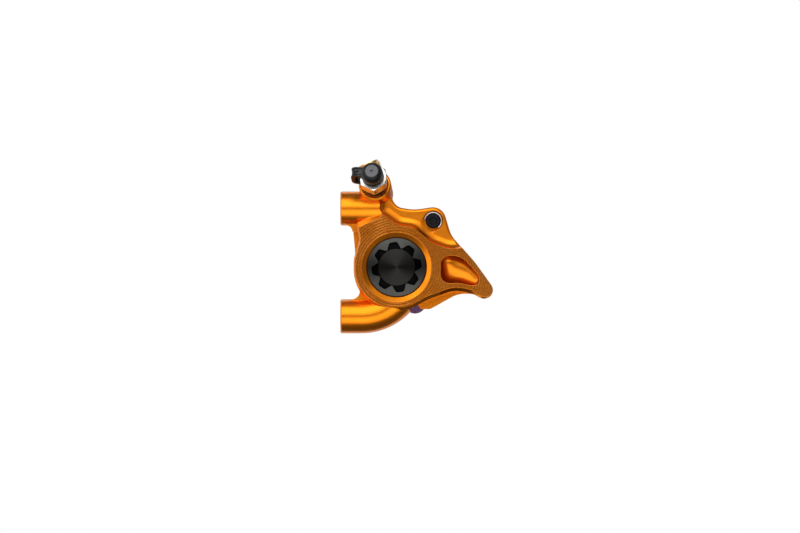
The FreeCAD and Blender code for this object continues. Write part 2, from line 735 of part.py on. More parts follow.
pieces = {
    "caliper_body": caliper_body(),
    "bore_cap": bore_cap(),
    "bore_cap_oring": bore_cap_oring(),
    "outer_piston": outer_piston(),
    "inner_piston": mirrored(outer_piston()),
    "outer_piston_insulator": outer_piston_insulator(),
    "inner_piston_insulator": mirrored(outer_piston_insulator()),
    "outer_piston_seal": outer_piston_seal(),
    "inner_piston_seal": mirrored(outer_piston_seal()),
    "outer_pad_backplate": outer_pad_backplate(),
    "outer_pad_lining": outer_pad_lining(),
    "inner_pad_backplate": mirrored(outer_pad_backplate()),
    "inner_pad_lining": mirrored(outer_pad_lining()),
    "pad_spring": pad_spring(),
    "pad_pin": pad_pin(),
    "pad_pin_clip": pad_pin_clip(),
    "bleed_nipple": bleed_nipple(),
    "nipple_dust_cap": nipple_dust_cap(),
    "hose_connector": hose_connector(),
    "hose_crush_washer": hose_crush_washer(),
    "drilling_plug": drilling_plug(),
}

os.makedirs("parts", exist_ok=True)
for name, shape in pieces.items():
    solid = shape.Solids[0]
    print(name, len(shape.Solids), shape.isValid(), round(solid.Volume, 2))
    solid.exportStep("parts/" + name + ".step")
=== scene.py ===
import json
import math

import bmesh
import bpy
import numpy as np
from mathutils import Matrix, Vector


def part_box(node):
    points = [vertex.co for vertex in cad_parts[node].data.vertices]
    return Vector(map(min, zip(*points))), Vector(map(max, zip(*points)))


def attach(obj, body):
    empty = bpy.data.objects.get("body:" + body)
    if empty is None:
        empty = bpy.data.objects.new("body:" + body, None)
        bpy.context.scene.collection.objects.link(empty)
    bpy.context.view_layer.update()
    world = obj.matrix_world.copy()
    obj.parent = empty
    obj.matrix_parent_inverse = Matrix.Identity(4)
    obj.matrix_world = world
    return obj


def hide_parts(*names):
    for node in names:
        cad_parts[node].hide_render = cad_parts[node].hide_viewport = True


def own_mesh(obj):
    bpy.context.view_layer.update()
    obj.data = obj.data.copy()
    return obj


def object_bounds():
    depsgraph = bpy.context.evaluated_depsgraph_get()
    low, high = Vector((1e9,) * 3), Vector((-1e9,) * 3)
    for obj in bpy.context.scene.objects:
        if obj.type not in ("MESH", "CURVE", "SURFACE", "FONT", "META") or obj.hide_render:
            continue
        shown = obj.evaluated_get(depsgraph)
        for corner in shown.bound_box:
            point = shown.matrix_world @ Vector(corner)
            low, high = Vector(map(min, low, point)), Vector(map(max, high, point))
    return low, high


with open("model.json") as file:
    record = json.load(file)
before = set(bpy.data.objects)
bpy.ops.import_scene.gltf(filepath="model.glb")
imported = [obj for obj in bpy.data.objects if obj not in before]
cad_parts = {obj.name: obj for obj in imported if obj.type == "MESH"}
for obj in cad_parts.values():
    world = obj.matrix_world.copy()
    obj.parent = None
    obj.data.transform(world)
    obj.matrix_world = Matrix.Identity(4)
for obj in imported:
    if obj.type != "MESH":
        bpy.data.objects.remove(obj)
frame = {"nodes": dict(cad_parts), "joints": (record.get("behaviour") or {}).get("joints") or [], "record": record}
cad_low, cad_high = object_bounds()

# Caliper body: one piece of aluminium with the two threaded posts, both cylinders and the beak.
# It is milled from a forging, its front face is turned round the bore, which leaves rings, and the pocket
# in the beak is cut by a ball cutter. All of it is etched satin, which rounds the edges, and anodised orange.
MM = 0.001
ORANGE = "#E98A1C"
ORANGE_DEEP = "#DF7614"
ORANGE_HIGHLIGHT = "#EC9C48"
ORANGE_POCKET_SHADE = "#C46E16"
cap_sink = 0.8 * MM
face_flat = 0.03 * MM
# The real rings lie about 0.65 mm apart, too fine to show in the render, so they are drawn a little coarser.
ring_pitch = 0.8 * MM
ring_depth = 0.014 * MM
ring_sharpness = 2.0
ring_patch = 7 * MM
ring_faintest = 0.35
ring_highlight = 0.95
edge_highlight = 0.45
dye_cloud = 9 * MM
etched_roughness = 0.29
turned_roughness = 0.2
streak_roughness = 0.04
etch_grain = 0.16 * MM
etch_depth = 0.0015 * MM
etch_streak = 1.5 * MM
edge_round = 0.16 * MM
pocket_middle = Vector((39.3, 0.0, -3.6)) * MM
pocket_along = Vector((0.77, 0.0, -0.64))
pocket_across = Vector((0.64, 0.0, 0.77))
pocket_left = 31.4 * MM
pocket_top = 2.9 * MM
pocket_lip = 0.3 * MM
pocket_depth = 5.1 * MM
pocket_blind = -3.8 * MM
pocket_open = 0.3 * MM
pocket_facing = -0.15
pocket_lift = 0.3
pocket_curve = 0.2 / MM
cap_low, cap_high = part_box("bore_cap")
bore_axis = Vector(((cap_low.x + cap_high.x) / 2, 0.0, (cap_low.z + cap_high.z) / 2))
face_y = cap_low.y - cap_sink


def linear(colour):
    """sRGB hex to linear light: below 0.04045 the value over 12.92, above it the 2.4 power."""
    parts = np.array([int(colour[i:i + 2], 16) for i in (1, 3, 5)]) / 255
    light = np.where(parts <= 0.04045, parts / 12.92, ((parts + 0.055) / 1.055) ** 2.4)
    return (*light.tolist(), 1.0)


def add(tree, kind, links=(), **settings):
    """Adds one shader node. Settings are its properties, and links its inputs, each a value or the output of
    another node."""
    made = tree.nodes.new("ShaderNode" + kind)
    for name, value in settings.items():
        setattr(made, name, value)
    for socket, value in dict(links).items():
        if isinstance(value, bpy.types.NodeSocket):
            tree.links.new(value, made.inputs[socket])
        else:
            made.inputs[socket].default_value = value
    return made


def start_finish(name, colour, metallic, roughness, **sockets):
    """A material with its surface shader set, and the object coordinates that its patterns read."""
    material = bpy.data.materials.new(name)
    material.use_nodes = True
    tree = material.node_tree
    surface = tree.nodes["Principled BSDF"]
    surface.inputs["Base Color"].default_value = linear(colour)
    surface.inputs["Metallic"].default_value = metallic
    surface.inputs["Roughness"].default_value = roughness
    for socket, value in sockets.items():
        surface.inputs[socket.replace("_", " ")].default_value = value
    place = add(tree, "TexCoord").outputs["Object"]
    return material, tree, surface, place


def dress(node, material):
    """Gives a CAD node its finish."""
    frame["nodes"][node].data.materials.clear()
    frame["nodes"][node].data.materials.append(material)


def distance_from_bore(tree, place):
    """How far a point is from the bore's axis, and the vector that points away from that axis."""
    away = add(tree, "VectorMath", {0: place, 1: bore_axis}, operation="SUBTRACT").outputs[0]
    flat = add(tree, "VectorMath", {0: away, 1: (1, 0, 1)}, operation="MULTIPLY").outputs[0]
    return add(tree, "VectorMath", {0: flat}, operation="LENGTH").outputs["Value"], flat


def rings(tree, distance, pitch, sharpness):
    """Crests round the bore: half of one plus the cosine of the distance over the pitch, to a power."""
    turn = add(tree, "Math", {0: distance, 1: 2 * math.pi / pitch}, operation="MULTIPLY").outputs[0]
    wave = add(tree, "Math", {0: turn}, operation="COSINE").outputs[0]
    lifted = add(tree, "Math", {0: wave, 1: 0.5, 2: 0.5}, operation="MULTIPLY_ADD").outputs[0]
    return add(tree, "Math", {0: lifted, 1: sharpness}, operation="POWER").outputs[0]


def in_pocket(tree, place, normal):
    """1 on the pocket's floor and walls, which lie between its mouth and its depth and don't face away from
    the front, and 0 elsewhere."""
    spot = add(tree, "SeparateXYZ", {0: place})
    facing = add(tree, "SeparateXYZ", {0: normal}).outputs["Y"]
    half = (pocket_depth - pocket_lip) / 2
    sunk = {0: spot.outputs["Y"], 1: face_y + pocket_depth - half, 2: half}
    tests = [add(tree, "Math", sunk, operation="COMPARE"),
             add(tree, "Math", {0: spot.outputs["X"], 1: pocket_left}, operation="GREATER_THAN"),
             add(tree, "Math", {0: spot.outputs["Z"], 1: pocket_top}, operation="LESS_THAN"),
             add(tree, "Math", {0: facing, 1: pocket_facing}, operation="LESS_THAN")]
    inside = tests[0].outputs[0]
    for test in tests[1:]:
        inside = add(tree, "Math", {0: inside, 1: test.outputs[0]}, operation="MULTIPLY").outputs[0]
    return inside


def scooped(tree, place, normal, inside):
    """Normal of the cutter's scoop: it leans across the scoop by the lift less the curve times the distance
    from its middle line, and the lift fades towards the scoop's blind end."""
    away = add(tree, "VectorMath", {0: place, 1: pocket_middle}, operation="SUBTRACT").outputs[0]
    along = add(tree, "VectorMath", {0: away, 1: pocket_along}, operation="DOT_PRODUCT").outputs["Value"]
    across = add(tree, "VectorMath", {0: away, 1: pocket_across}, operation="DOT_PRODUCT").outputs["Value"]
    fade = {"Value": along, "From Min": pocket_blind, "From Max": pocket_open, "To Max": pocket_lift}
    lift = add(tree, "MapRange", fade).outputs[0]
    lean = add(tree, "Math", {0: across, 1: -pocket_curve, 2: lift}, operation="MULTIPLY_ADD").outputs[0]
    lean = add(tree, "Math", {0: lean, 1: inside}, operation="MULTIPLY").outputs[0]
    turned = add(tree, "VectorMath", {0: pocket_across, "Scale": lean}, operation="SCALE").outputs[0]
    summed = add(tree, "VectorMath", {0: normal, 1: turned}, operation="ADD").outputs[0]
    return add(tree, "VectorMath", {0: summed}, operation="NORMALIZE").outputs[0]


# The rings are stronger in some patches than in others. They and the etched grain lie on the scooped normal.
anodised, tree, surface, place = start_finish("orange anodised aluminium", ORANGE, 1.0, 0.3)
depth = add(tree, "SeparateXYZ", {0: place}).outputs["Y"]
on_face = add(tree, "Math", {0: depth, 1: face_y, 2: face_flat}, operation="COMPARE").outputs[0]
distance = distance_from_bore(tree, place)[0]
ring = rings(tree, distance, ring_pitch, ring_sharpness)
patch = add(tree, "TexNoise", {"Vector": place, "Scale": 1 / ring_patch, "Detail": 2.0}).outputs["Fac"]
patchy = {"Value": patch, "From Min": 0.3, "From Max": 0.6, "To Min": ring_faintest}
strength = add(tree, "MapRange", patchy).outputs[0]
ring = add(tree, "Math", {0: ring, 1: strength}, operation="MULTIPLY").outputs[0]
ring = add(tree, "Math", {0: ring, 1: on_face}, operation="MULTIPLY").outputs[0]
grain = add(tree, "TexNoise", {"Vector": place, "Scale": 1 / etch_grain, "Detail": 2.0}).outputs["Fac"]
soft_edge = add(tree, "Bevel", {"Radius": edge_round}, samples=6).outputs["Normal"]
true_normal = add(tree, "NewGeometry").outputs["Normal"]
inside = in_pocket(tree, place, true_normal)
scoop = scooped(tree, place, soft_edge, inside)
etched = add(tree, "Bump", {"Height": grain, "Distance": etch_depth, "Normal": scoop}).outputs["Normal"]
turned_marks = add(tree, "Bump", {"Height": ring, "Distance": ring_depth, "Normal": etched}).outputs["Normal"]
alike = add(tree, "VectorMath", {0: soft_edge, 1: true_normal}, operation="DOT_PRODUCT").outputs["Value"]
# The rings' crests and the edges are painted a paler orange, a painted highlight.
# The turned face is given the deeper orange all over, and shines more.
rounding = {"Value": alike, "From Min": 0.998, "From Max": 0.9, "To Max": edge_highlight}
edge = add(tree, "MapRange", rounding).outputs[0]
painted_highlight = add(tree, "Math", {0: ring, 1: ring_highlight}, operation="MULTIPLY").outputs[0]
painted_highlight = add(tree, "Math", {0: painted_highlight, 1: edge}, operation="MAXIMUM").outputs[0]
cloud = add(tree, "TexNoise", {"Vector": place, "Scale": 1 / dye_cloud, "Detail": 3.0}).outputs["Fac"]
deep = add(tree, "Math", {0: cloud, 1: on_face}, operation="MAXIMUM").outputs[0]
dye_and_pocket_shade = add(tree, "Mix", {"Factor": deep, "A": linear(ORANGE), "B": linear(ORANGE_DEEP)}, data_type="RGBA")
# The pocket's floor and walls are painted a darker orange, painted shade in the recess.
dye_and_pocket_shade = add(tree, "Mix", {"Factor": inside, "A": dye_and_pocket_shade.outputs["Result"], "B": linear(ORANGE_POCKET_SHADE)},
          data_type="RGBA")
dye_with_painted_light = add(tree, "Mix", {"Factor": painted_highlight, "A": dye_and_pocket_shade.outputs["Result"], "B": linear(ORANGE_HIGHLIGHT)},
           data_type="RGBA")
satin = {"Value": on_face, "To Min": etched_roughness, "To Max": turned_roughness}
shine = add(tree, "MapRange", satin).outputs[0]
streak = add(tree, "TexNoise", {"Vector": place, "Scale": 1 / etch_streak, "Detail": 4.0}).outputs["Fac"]
shine = add(tree, "Math", {0: streak, 1: streak_roughness, 2: shine}, operation="MULTIPLY_ADD").outputs[0]
tree.links.new(dye_with_painted_light.outputs["Result"], surface.inputs["Base Color"])
tree.links.new(shine, surface.inputs["Roughness"])
tree.links.new(turned_marks, surface.inputs["Normal"])
dress("caliper_body", anodised)

# Post threads: M5 by 0.8, tapped in the ends of both posts before anodising, so they are orange too.
# Each is a ring of metal whose inner wall winds as a helix and runs out at both ends.
mounts = {mount["name"]: mount for mount in frame["record"]["mounts"]}
bolts = mounts["frame_bolts"]
hole_r = bolts["dims"]["hole_r_mm"]
post_spacing = bolts["dims"]["spacing_y_mm"]
post_pitch = 0.8
post_thread_depth = 0.42
post_thread_len = 10.6
post_thread_steps = 72
mouth = 0.3


def grid_quads(rows, steps, loop):
    """Quads between neighbours on a grid whose steps close on themselves, and whose rows do too if loop is
    set."""
    row = np.arange(rows if loop else rows - 1)[:, None]
    step = np.arange(steps)[None, :]
    above, beside = (row + 1) % rows, (step + 1) % steps
    corners = (row * steps + step, row * steps + beside, above * steps + beside, above * steps + step)
    return np.stack(np.broadcast_arrays(*corners), axis=-1).reshape(-1, 4)


def round_axis(radius, height, steps):
    """x is the radius times the cosine of the angle, y the radius times its sine, and z the height.
    The radius may change round the axis as well as along it."""
    angle = 2 * math.pi * np.arange(steps) / steps
    radius, height = np.broadcast_arrays(radius, height, np.empty((1, steps)))[:2]
    return np.stack([radius * np.cos(angle), radius * np.sin(angle), height], axis=-1)


def ridge(height, steps, pitch):
    """A thread's ridge, 1 on its crest and 0 at its root. The crest is where the height over the pitch less
    the angle over a turn is whole. The flanks fall off with the distance from it, and both ends are clipped
    flat."""
    flank_slope = 2.6
    root_flat = 0.15
    turn = np.arange(steps)[None, :] / steps
    phase = (height / pitch - turn) % 1.0
    return np.clip(flank_slope * np.abs(phase - 0.5) - root_flat, 0.0, 1.0)


def run_out(height, low, high, over):
    """1 along a thread, falling to 0 over the last stretch at both ends."""
    return np.clip((height - low) / over, 0.0, 1.0) * np.clip((high - height) / over, 0.0, 1.0)


def make_piece(name, forms, material, foot=(0.0, 0.0, 0.0), axis=Vector((0, 0, 1))):
    """One mesh from grids of points in millimetres, each given with whether its rows close. It stands on the
    foot, with its z along the axis. Where the sum of a times b cross c over a form's triangles, six times its
    volume, is negative, the form is inside out and is turned round."""
    weld = 0.0001 * MM
    crease = math.radians(42)
    turn = np.array(Vector((0, 0, 1)).rotation_difference(axis).to_matrix())
    points, quads, used = [], [], 0
    for grid, loop in forms:
        faces = grid_quads(*grid.shape[:2], loop)
        flat = grid.reshape(-1, 3)
        a, b, c, d = (flat[faces[:, k]] for k in range(4))
        volume = (a * np.cross(b, c)).sum() + (a * np.cross(c, d)).sum()
        points.append(flat)
        quads.append((faces[:, ::-1] if volume < 0 else faces) + used)
        used += len(flat)
    placed = np.concatenate(points) @ turn.T * MM + np.array(foot)
    mesh = bpy.data.meshes.new(name)
    mesh.from_pydata(placed.tolist(), [], np.concatenate(quads).tolist())
    merged = bmesh.new()
    merged.from_mesh(mesh)
    bmesh.ops.remove_doubles(merged, verts=merged.verts, dist=weld)
    merged.to_mesh(mesh)
    merged.free()
    mesh.shade_smooth()
    mesh.set_sharp_from_angle(angle=crease)
    mesh.materials.append(material)
    piece = bpy.data.objects.new(name, mesh)
    bpy.context.scene.collection.objects.link(piece)
    return piece


def inner_thread(radius, depth, pitch, low, high, steps):
    """Ring whose outer wall is a cylinder, just inside the metal, and whose inner wall is the radius less the
    thread's ridge."""
    rows_per_turn = 12
    into_metal = 0.02
    height = np.linspace(low, high, int((high - low) / pitch * rows_per_turn))[:, None]
    wall = radius - depth * ridge(height, steps, pitch) * run_out(height, low, high, 1.5 * pitch)
    outer = np.full((2, steps), radius + into_metal)
    ends = np.array([[high], [low]])
    return round_axis(np.concatenate([wall, outer]), np.concatenate([height, ends]), steps)


for side, name in ((1, "upper_post_thread"), (-1, "lower_post_thread")):
    grid = inner_thread(hole_r, post_thread_depth, post_pitch, mouth, post_thread_len, post_thread_steps)
    foot = (0.0, 0.0, side * post_spacing / 2 * MM)
    thread = make_piece(name, [(grid, True)], anodised, foot, Vector((1, 0, 0)))
    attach(thread, "caliper")

# Bore cap: turned from aluminium, anodised black, screwed into the outer cylinder by its lobed socket.
# The tool's rings round its axis spread the light along each radius, which draws bright fans on it.
# Its rim is turned very slightly domed.
cap_ring_pitch = 0.3 * MM
cap_ring_depth = 0.002 * MM
cap_dome = 14.0
disc_y = cap_low.y + 0.3 * MM
lobe_y = cap_low.y + 1.1 * MM
cap_edge_round = 0.08 * MM
black_cap, tree, surface, place = start_finish("black anodised aluminium", "#444442", 1.0, 0.28,
                                               Anisotropic=0.85)
spot = add(tree, "SeparateXYZ", {0: place})
disc_shade = add(tree, "Math", {0: spot.outputs["Y"], 1: disc_y}, operation="GREATER_THAN").outputs[0]
lobe_shade = add(tree, "Math", {0: spot.outputs["Y"], 1: lobe_y}, operation="GREATER_THAN").outputs[0]
distance, outwards = distance_from_bore(tree, place)
ring = rings(tree, distance, cap_ring_pitch, 1.0)
edge = add(tree, "Bevel", {"Radius": cap_edge_round}, samples=4).outputs["Normal"]
dome = {0: outwards, 1: (cap_dome,) * 3, 2: edge}
domed = add(tree, "VectorMath", dome, operation="MULTIPLY_ADD").outputs[0]
domed = add(tree, "VectorMath", {0: domed}, operation="NORMALIZE").outputs[0]
marks = add(tree, "Bump", {"Height": ring, "Distance": cap_ring_depth, "Normal": domed}).outputs["Normal"]
cloud = add(tree, "TexNoise", {"Vector": place, "Scale": 1 / (2 * MM), "Detail": 4.0}).outputs["Fac"]
shade = add(tree, "Mix", {"Factor": cloud, "A": linear("#3C3C3B"), "B": linear("#4E4E4B")}, data_type="RGBA")
# What lies deeper in the socket is painted darker, and the lobes nearly black: painted shade in the recess.
shade = add(tree, "Mix", {"Factor": disc_shade, "A": shade.outputs["Result"], "B": linear("#2B2A28")},
            data_type="RGBA")
shade = add(tree, "Mix", {"Factor": lobe_shade, "A": shade.outputs["Result"], "B": linear("#0C0C0C")},
            data_type="RGBA")
along = add(tree, "VectorMath", {0: outwards}, operation="NORMALIZE").outputs[0]
tree.links.new(shade.outputs["Result"], surface.inputs["Base Color"])
tree.links.new(marks, surface.inputs["Normal"])
tree.links.new(along, surface.inputs["Tangent"])
dress("bore_cap", black_cap)

# Cap ring and piston seals: rings moulded from nitrile rubber, seated under the cap and in the cylinders'
# grooves. They are matt, with the mould's fine grain.
rubber, tree, surface, place = start_finish("nitrile rubber", "#1B1B1A", 0.0, 0.55, Specular_IOR_Level=0.4)
grain = add(tree, "TexNoise", {"Vector": place, "Scale": 1 / (0.12 * MM), "Detail": 3.0}).outputs["Fac"]
dust = add(tree, "Mix", {"Factor": grain, "A": linear("#171716"), "B": linear("#2A2A28")}, data_type="RGBA")
skin = add(tree, "Bump", {"Height": grain, "Distance": 0.01 * MM}).outputs["Normal"]
tree.links.new(dust.outputs["Result"], surface.inputs["Base Color"])
tree.links.new(skin, surface.inputs["Normal"])
for node in ("bore_cap_oring", "outer_piston_seal", "inner_piston_seal"):
    dress(node, rubber)

# Pistons: cups moulded from black phenolic and centreless ground, so they shine with fine rings.
# Each holds a disc of brown fibre board that keeps the pad's heat from the oil.
phenolic, tree, surface, place = start_finish("ground black phenolic", "#1C1B1A", 0.0, 0.22)
depth = add(tree, "SeparateXYZ", {0: place}).outputs["Y"]
grind = add(tree, "TexNoise", {"W": depth, "Scale": 1 / (0.1 * MM), "Detail": 2.0}, noise_dimensions="1D")
speck = add(tree, "TexNoise", {"Vector": place, "Scale": 1 / (0.4 * MM), "Detail": 4.0}).outputs["Fac"]
shade = add(tree, "Mix", {"Factor": speck, "A": linear("#131312"), "B": linear("#2A2724")}, data_type="RGBA")
marks = add(tree, "Bump", {"Height": grind.outputs["Fac"], "Distance": 0.003 * MM}).outputs["Normal"]
tree.links.new(shade.outputs["Result"], surface.inputs["Base Color"])
tree.links.new(marks, surface.inputs["Normal"])
dress("outer_piston", phenolic)
dress("inner_piston", phenolic)
fibre_board, tree, surface, place = start_finish("brown fibre board", "#6E5236", 0.0, 0.8)
stretch = add(tree, "Mapping", {"Vector": place, "Scale": (1.0, 1.0, 6.0)}).outputs["Vector"]
fibres = add(tree, "TexNoise", {"Vector": stretch, "Scale": 1 / (0.5 * MM), "Detail": 5.0}).outputs["Fac"]
shade = add(tree, "Mix", {"Factor": fibres, "A": linear("#4E3822"), "B": linear("#8A6A48")}, data_type="RGBA")
weave = add(tree, "Bump", {"Height": fibres, "Distance": 0.02 * MM}).outputs["Normal"]
tree.links.new(shade.outputs["Result"], surface.inputs["Base Color"])
tree.links.new(weave, surface.inputs["Normal"])
dress("outer_piston_insulator", fibre_board)
dress("inner_piston_insulator", fibre_board)

# Pad backplates: stamped from 1.8 mm steel and powder coated purple, each hung on the pad pin by its ear.
# The coat is glossy with a slight orange peel.
coating, tree, surface, place = start_finish("purple powder coat", "#6A4080", 0.0, 0.34, Coat_Weight=0.3)
peel = add(tree, "TexNoise", {"Vector": place, "Scale": 1 / (0.6 * MM), "Detail": 2.0}).outputs["Fac"]
shade = add(tree, "Mix", {"Factor": peel, "A": linear("#5E3674"), "B": linear("#74488A")}, data_type="RGBA")
edge = add(tree, "Bevel", {"Radius": 0.12 * MM}, samples=4).outputs["Normal"]
skin = add(tree, "Bump", {"Height": peel, "Distance": 0.02 * MM, "Normal": edge}).outputs["Normal"]
tree.links.new(shade.outputs["Result"], surface.inputs["Base Color"])
tree.links.new(skin, surface.inputs["Normal"])
dress("outer_pad_backplate", coating)
dress("inner_pad_backplate", coating)

# Pad linings: copper, iron and graphite powders pressed and sintered on the plate.
# The mix shows as a dark crumbly block with bright grains of metal in it.
sinter, tree, surface, place = start_finish("sintered friction mix", "#4A433D", 0.0, 0.75)
crumb = add(tree, "TexNoise", {"Vector": place, "Scale": 1 / (0.35 * MM), "Detail": 6.0}).outputs["Fac"]
cell = add(tree, "TexVoronoi", {"Vector": place, "Scale": 1 / (0.45 * MM)})
picked = add(tree, "SeparateColor", {0: cell.outputs["Color"]}).outputs[0]
metal = add(tree, "Math", {0: picked, 1: 0.78}, operation="GREATER_THAN").outputs[0]
ground = add(tree, "Mix", {"Factor": crumb, "A": linear("#2E2A27"), "B": linear("#5E554C")}, data_type="RGBA")
shade = add(tree, "Mix", {"Factor": metal, "A": ground.outputs["Result"], "B": linear("#B08058")},
            data_type="RGBA")
gloss = add(tree, "MapRange", {"Value": metal, "To Min": 0.85, "To Max": 0.35}).outputs[0]
pits = add(tree, "Bump", {"Height": crumb, "Distance": 0.08 * MM}).outputs["Normal"]
tree.links.new(shade.outputs["Result"], surface.inputs["Base Color"])
tree.links.new(metal, surface.inputs["Metallic"])
tree.links.new(gloss, surface.inputs["Roughness"])
tree.links.new(pits, surface.inputs["Normal"])
dress("outer_pad_lining", sinter)
dress("inner_pad_lining", sinter)

# Pad spring: one leaf of bright spring steel, bent over the rotor's edge. A saddle joins two arms, each with
# a leg down either backplate, so that it pushes the pads apart and closes with them.
steel, tree, surface, place = start_finish("bright spring steel", "#C4C4C6", 1.0, 0.26)
drawn = add(tree, "Mapping", {"Vector": place, "Scale": (1.0, 0.08, 1.0)}).outputs["Vector"]
lines = add(tree, "TexNoise", {"Vector": drawn, "Scale": 1 / (0.08 * MM), "Detail": 3.0}).outputs["Fac"]
marks = add(tree, "Bump", {"Height": lines, "Distance": 0.002 * MM}).outputs["Normal"]
gloss = add(tree, "MapRange", {"Value": lines, "To Min": 0.18, "To Max": 0.36}).outputs[0]
tree.links.new(gloss, surface.inputs["Roughness"])
tree.links.new(marks, surface.inputs["Normal"])
pin_low, pin_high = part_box("pad_pin")
pin_axis = Vector(((pin_low.x + pin_high.x) / 2, 0.0, (pin_low.z + pin_high.z) / 2))
spring_low, spring_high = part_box("pad_spring")
rotor_y = (spring_low.y + spring_high.y) / 2
leaf = 0.3
leaf_ease = 0.1
arm_width = 2.8
arm_place = 5.8
leg_foot = 8.7
shoulder_drop = 1.7
shoulder_in = 1.1
bend_cut = 0.8
saddle_out = 13.0
saddle_width = 3.0
half_span = (spring_high.y - spring_low.y) / 2 / MM


def rounded(corners, cuts, steps=6):
    """Closed outline whose corners are parabolas: (1 - t) squared times the start, 2t (1 - t) times the
    corner and t squared times the end. Start and end lie one cut from the corner, or halfway along a side too
    short for that."""
    corners = np.array(corners, float)
    cuts = np.broadcast_to(cuts, len(corners))[:, None]
    t = np.linspace(0, 1, steps)[None, :, None]
    ends = []
    for shift in (1, -1):
        side = np.roll(corners, shift, axis=0) - corners
        length = np.linalg.norm(side, axis=1, keepdims=True)
        ends.append((corners + side / length * np.minimum(cuts, length / 2))[:, None])
    curve = (1 - t) ** 2 * ends[0] + 2 * t * (1 - t) * corners[:, None] + t ** 2 * ends[1]
    return curve.reshape(-1, corners.shape[1])


def open_route(corners, cut, steps=6):
    """The rounded line from the first corner to the last, both kept sharp."""
    cuts = np.full(len(corners), cut)
    cuts[[0, -1]] = 0.0
    return rounded(corners, cuts, steps)[steps - 1:1 - steps]


def carried(path, side, section):
    """Section (u, v) carried along a path: the path's point plus u times the normal plus v times the side.
    The normal is the side crossed with the path's direction. Both ends shrink to a point and so close."""
    side = np.array(side, float)
    ahead = np.gradient(path, axis=0)
    normal = np.cross(side, ahead / np.linalg.norm(ahead, axis=1, keepdims=True))
    path, normal = (np.pad(line, ((1, 1), (0, 0)), mode="edge")[:, None] for line in (path, normal))
    size = np.ones((len(path), 1, 1))
    size[[0, -1]] = 0.0
    section = np.array(section, float)[None]
    return path + size * (section[..., :1] * normal + section[..., 1:] * side)


def leaf_strip(width):
    """Section of the leaf: a rectangle of the leaf's thickness and this width, with its corners eased."""
    u, v = leaf / 2, width / 2
    return rounded([(-u, -v), (u, -v), (u, v), (-u, v)], leaf_ease, 3)


outwards = np.array((pin_axis - bore_axis).normalized())
across = np.array((0.0, 1.0, 0.0))
sideways = np.cross(outwards, across)
centre = np.array(bore_axis) / MM + across * rotor_y / MM
leg_y = half_span - leaf / 2
top = saddle_out - leaf / 2
bends = [(-leg_y, leg_foot), (-leg_y, top - shoulder_drop), (-leg_y + shoulder_in, top),
         (leg_y - shoulder_in, top), (leg_y, top - shoulder_drop), (leg_y, leg_foot)]
route = open_route(bends, bend_cut, 8)
forms = []
for hand in (-1, 1):
    arm = centre + hand * arm_place * sideways + route[:, 1:] * outwards + route[:, :1] * across
    forms.append((carried(arm, sideways, leaf_strip(arm_width)), False))
reach = np.linspace(-arm_place, arm_place, 25)[:, None]
saddle = centre + reach * sideways + top * outwards
forms.append((carried(saddle, across, leaf_strip(saddle_width)), False))
spring = make_piece("bent_pad_spring", forms, steel)
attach(spring, "caliper")
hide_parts("pad_spring")
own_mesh(spring)

# Pad pin and drilling plug: turned from steel, each with a hexagon socket to turn it by, and blackened in hot
# oxide, which leaves a deep satin black.
oxide, tree, surface, place = start_finish("black oxide steel", "#2A2A2C", 1.0, 0.38)
cloud = add(tree, "TexNoise", {"Vector": place, "Scale": 1 / (0.7 * MM), "Detail": 4.0}).outputs["Fac"]
shade = add(tree, "Mix", {"Factor": cloud, "A": linear("#18181A"), "B": linear("#2E2E32")}, data_type="RGBA")
edge = add(tree, "Bevel", {"Radius": 0.1 * MM}, samples=4).outputs["Normal"]
skin = add(tree, "Bump", {"Height": cloud, "Distance": 0.004 * MM, "Normal": edge}).outputs["Normal"]
tree.links.new(shade.outputs["Result"], surface.inputs["Base Color"])
tree.links.new(skin, surface.inputs["Normal"])
dress("pad_pin", oxide)
dress("drilling_plug", oxide)

# Pin clip: an open ring bent from bright spring wire and sprung round the pin's head. It has the pad spring's
# finish, and shows as a thin bright rim beside the black head.
clip_low, clip_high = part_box("pad_pin_clip")
clip_inner = 2.4
clip_outer = 2.95
clip_start = -50.0
clip_end = 170.0
angle = np.radians(np.linspace(clip_start, clip_end, 73))
hub = np.array((pin_axis.x, (clip_low.y + clip_high.y) / 2, pin_axis.z)) / MM
arc = hub + (clip_inner + clip_outer) / 2 * np.stack([np.cos(angle), 0 * angle, np.sin(angle)], axis=-1)
wire_r = (clip_outer - clip_inner) / 2
wire_half = (clip_high.y - clip_low.y) / 2 / MM
turn = 2 * math.pi * np.arange(20) / 20
wire = np.stack([wire_r * np.cos(turn), wire_half * np.sin(turn)], axis=-1)
grid = carried(arc, across, wire)
clip = make_piece("wire_pin_clip", [(grid, False)], steel)
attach(clip, "caliper")
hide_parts("pad_pin_clip")

# Bleed nipple: turned from stainless hexagon bar, with bright flats and a chamfered crown, and screwed into
# the leaning boss above the upper post. Faint clouds on its flats break up the shine.
stainless, tree, surface, place = start_finish("bright stainless steel", "#D2D0CA", 1.0, 0.2)
cloud = add(tree, "TexNoise", {"Vector": place, "Scale": 1 / (0.6 * MM), "Detail": 3.0}).outputs["Fac"]
edge = add(tree, "Bevel", {"Radius": 0.1 * MM}, samples=4).outputs["Normal"]
marks = add(tree, "Bump", {"Height": cloud, "Distance": 0.001 * MM, "Normal": edge}).outputs["Normal"]
gloss = add(tree, "MapRange", {"Value": cloud, "To Min": 0.2, "To Max": 0.36}).outputs[0]
tree.links.new(gloss, surface.inputs["Roughness"])
tree.links.new(marks, surface.inputs["Normal"])
dress("bleed_nipple", stainless)
